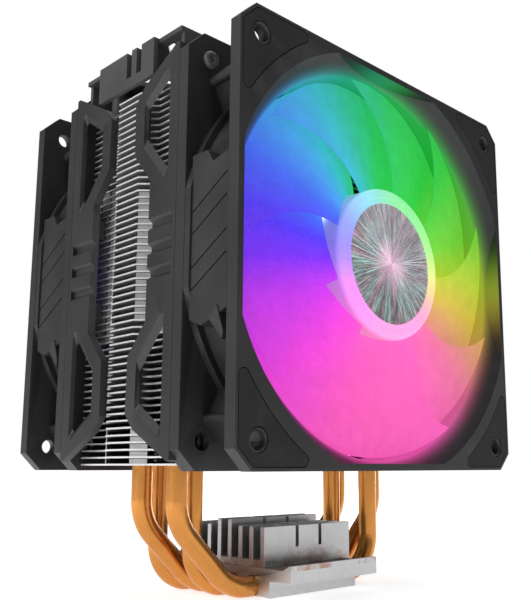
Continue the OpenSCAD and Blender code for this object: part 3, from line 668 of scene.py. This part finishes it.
def medallion(side, y0, rays=96, rings=14, disc_r=18.2):
    """Domed foil disc with fine raised rays and a rolled rim."""
    body = side + "_rotor"
    verts, faces = [(0, y0 + 0.42, FAN_Z)], []
    rnd = random.Random(7)
    relief = [rnd.uniform(0.02, 0.11) for _ in range(rays)]
    n = rays * 2
    for i in range(1, rings + 1):
        r = disc_r * i / rings
        for k in range(n):
            a = math.pi * k / rays
            lift = relief[k // 2] * (1 if k % 2 else -0.4) * min(1, r / 5)
            depth = 0.45 + 0.18 * (r / disc_r) ** 2 - lift
            verts.append((r * math.cos(a), y0 + depth, FAN_Z - r * math.sin(a)))
    for k in range(n):
        faces.append((0, 1 + (k + 1) % n, 1 + k))
    for i in range(rings - 1):
        for k in range(n):
            a, b = 1 + i * n + k, 1 + i * n + (k + 1) % n
            faces.append((a, b, b + n, a + n))
    disc = mesh_object(side + "_medallion_face", (verts, faces), "medallion_foil", body,
                       smooth=False)
    roll = arc(18.55, 0.6, 0.42, 180, 360, 8)
    rim = lathe([(18.1, 1.25), (18.1, 0.62)] + roll + [(19.3, 0.75), (19.35, 1.25)], 144, y0)
    mesh_object(side + "_medallion_rim", rim, "hub_frosted", body, sharp=40)
    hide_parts(side + "_hub_medallion")


# ------------------------------------------------------------------ heat sink details
# Y of each heat pipe, and X of its left and right legs
PIPES = [(-12.525, -46.3, 34.3), (-4.175, -34.3, 46.3), (4.175, -46.3, 34.3), (12.525, -34.3, 46.3)]
FIN_Z0, FIN_T, PITCH, FINS = 37.45, 0.5, 2.0, 55
GAPS = [FIN_Z0 + i * PITCH + FIN_T for i in range(FINS - 1)]    # bottom of the gap over each fin but the last


def pipe_collars():
    """Drawn collars that space the fins round each pipe: a flared foot and a rolled lip in every gap."""
    collar = [(3.9, 0.02), (3.45, 0.3), (3.3, 0.9), (3.34, 1.3), (3.5, 1.48)]    # radius, height in the gap
    mesh = lathe([(r, z + h) for z in GAPS for r, h in collar], 28, 0)
    parts = [placed(mesh, (x, y, 0), upright=True) for y, left, right in PIPES for x in (left, right)]
    mesh_object("pipe_collars", joined(parts), "collar_aluminium", "heatsink", sharp=50)


def fin_tabs():
    """Folded tabs that close the gaps between the fins: along the slanted edges at mid height and low down,
    and in short pieces on the fins' sides at mid height."""
    half_tall, low_below, side_half_tall = 19, 47, 24
    side_x, first_y, step_y, tab_long, stagger = 54, 10.4, 5.0, 4.3, 0.3
    diagonal = 0.7071
    slanted, short = [], []
    for i, z in enumerate(GAPS):
        for sx in (-1, 1):
            for sy in (-1, 1):
                if abs(z - FAN_Z) < half_tall or z < low_below:
                    slanted.append(wall((sx * 57.7, sy * 6.1), (sx * 54.3, sy * 9.5), z, z + 1.3,
                                        (sx * diagonal, sy * diagonal)))
                if abs(z - FAN_Z) < side_half_tall:
                    for k in range(3):
                        y = first_y + step_y * k
                        end = y + tab_long - stagger * (i % 2)
                        short.append(wall((sx * side_x, sy * y), (sx * side_x, sy * end),
                                          z, z + 1.25, (sx, 0)))
    for name, tabs in (("fin_tabs_slanted", slanted), ("fin_tabs_short", short)):
        mesh_object(name, joined(tabs), "tab_aluminium", "heatsink", smooth=False)


# ------------------------------------------------------------------ details of each fan unit
HOLE = 52.5    # half of the screw holes' spacing


def corners(zs):
    """Centres of the screw holes at the given heights off the fan axis."""
    return [(x, 0, FAN_Z + z) for x in (-HOLE, HOLE) for z in zs]


def push_pins(side):
    """Button heads with a rolled edge and a dimple, and their necks, in the upper corners."""
    inward = 1 if side == "front" else -1
    face = -31.2    # Y of the front fan's inner flange, where the heads rest
    head = [(0, -1.05), (0.8, -1.1), (1.1, -1.42), (1.6, -1.5), (2.2, -1.32), (2.52, -0.95), (2.6, -0.5),
            (2.55, -0.12), (2.3, 0), (1.9, 0), (1.9, 3.7), (1.5, 3.8), (1.5, 5.2), (0, 5.4)]
    mesh = lathe([(r, (face + d) * inward) for r, d in head], 40, 0)
    pins = joined([placed(mesh, at) for at in corners([HOLE])])
    o = mesh_object(side + "_push_pins", pins, "pin_steel", side + "_fan_unit", sharp=40)
    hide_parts(side + "_bracket_pins")


def eyelets(side, y0):
    """Raised rings round the screw holes in the corner pads of the outer face, and a chamfer inside them."""
    outer = y0 + 0.15 if side == "front" else y0 + 25.25    # Y of the rings' crest
    inward = 1 if side == "front" else -1
    ring = [(2.2, 1.6), (2.25, 0.7), (2.5, 0.25), (2.75, 0), (3.0, 0.1), (3.1, 0.5), (3.1, 1.6)]
    mesh = lathe([(r, outer + d * inward) for r, d in ring], 40, 0)
    rings = joined([placed(mesh, at) for at in corners([-HOLE, HOLE])])
    mesh_object(side + "_eyelets", rings, "fan_black", side + "_fan_unit", sharp=40)


def windings(side, y0):
    """Enamelled wire wound round each arm of the stator, in three layers."""
    core_depth, wire_r, first_r = 9.4, 0.3, 7.75
    corner = 5.0    # 2 is an ellipse, and a larger number a squarer loop
    points = 28
    parts = []
    for arm in range(4):
        a = math.pi / 2 * arm
        for layer, (half_wide, half_deep) in enumerate(((2.05, 3.45), (2.6, 4.0), (3.0, 4.4))):
            for turn in range(10 - layer):
                r = first_r + turn * 0.62 + layer * 0.3
                loop = []
                for q in range(points):
                    c = math.cos(2 * math.pi * q / points)
                    s = math.sin(2 * math.pi * q / points)
                    square = (abs(c) ** corner + abs(s) ** corner) ** (-1 / corner)
                    across = half_wide * c * square
                    loop.append((r * math.cos(a) - across * math.sin(a),
                                 y0 + core_depth + half_deep * s * square,
                                 FAN_Z - r * math.sin(a) - across * math.cos(a)))
                parts.append(wire_loop(loop, wire_r, 6))
    o = mesh_object(side + "_windings", joined(parts), "winding_copper", side + "_fan_unit")
    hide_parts(side + "_stator_coils")


def motor_sticker(side, y0):
    """Plain foil sticker on the motor base, with a pressed rim and a ring over the bearing."""
    base = 25.2    # local depth of the motor base's outer face
    profile = [(0, 0.05), (2.6, 0.05), (2.9, 0.13), (3.6, 0.13), (3.9, 0.05), (17.2, 0.05), (17.5, 0.12),
               (18.2, 0.12), (18.4, 0.02)]
    mesh = lathe([(r, base + d) for r, d in profile], 96, y0)
    mesh_object(side + "_motor_sticker", mesh, "sticker_foil", side + "_fan_unit", sharp=30)


def board_parts(side, y0):
    """Small can capacitors and solder dots on the motor's circuit board."""
    can_circle, inner_circle, outer_circle = 13.5, 8.2, 16.9
    board = 18.0    # local depth of the face that carries the parts
    can = [(0, -2.4), (0.9, -2.4), (1.05, -2.2), (1.05, -0.5), (0.95, -0.4), (1.1, -0.3), (1.1, -0.01)]
    dot = [(0, -0.34), (0.3, -0.28), (0.5, -0.01)]

    def part(profile, n, r, degrees):
        a = math.radians(degrees)
        mesh = lathe([(radius, board + d) for radius, d in profile], n, y0)
        return placed(mesh, (r * math.cos(a), 0, FAN_Z + r * math.sin(a)))

    parts = [part(can, 16, can_circle, degrees) for degrees in (75, 110, 195, 215, 300, 325)]
    parts += [part(dot, 10, inner_circle if i % 2 else outer_circle, 15 * i + 4) for i in range(24)]
    body = side + "_fan_unit"
    mesh_object(side + "_board_parts", joined(parts), "cup_steel", body, sharp=40)


# ------------------------------------------------------------------ all pieces
pipe_collars()
fin_tabs()
for side, y0 in FANS.items():
    impeller(side, y0)
    medallion(side, y0)
    push_pins(side)
    eyelets(side, y0)
    windings(side, y0)
    motor_sticker(side, y0)
    board_parts(side, y0)
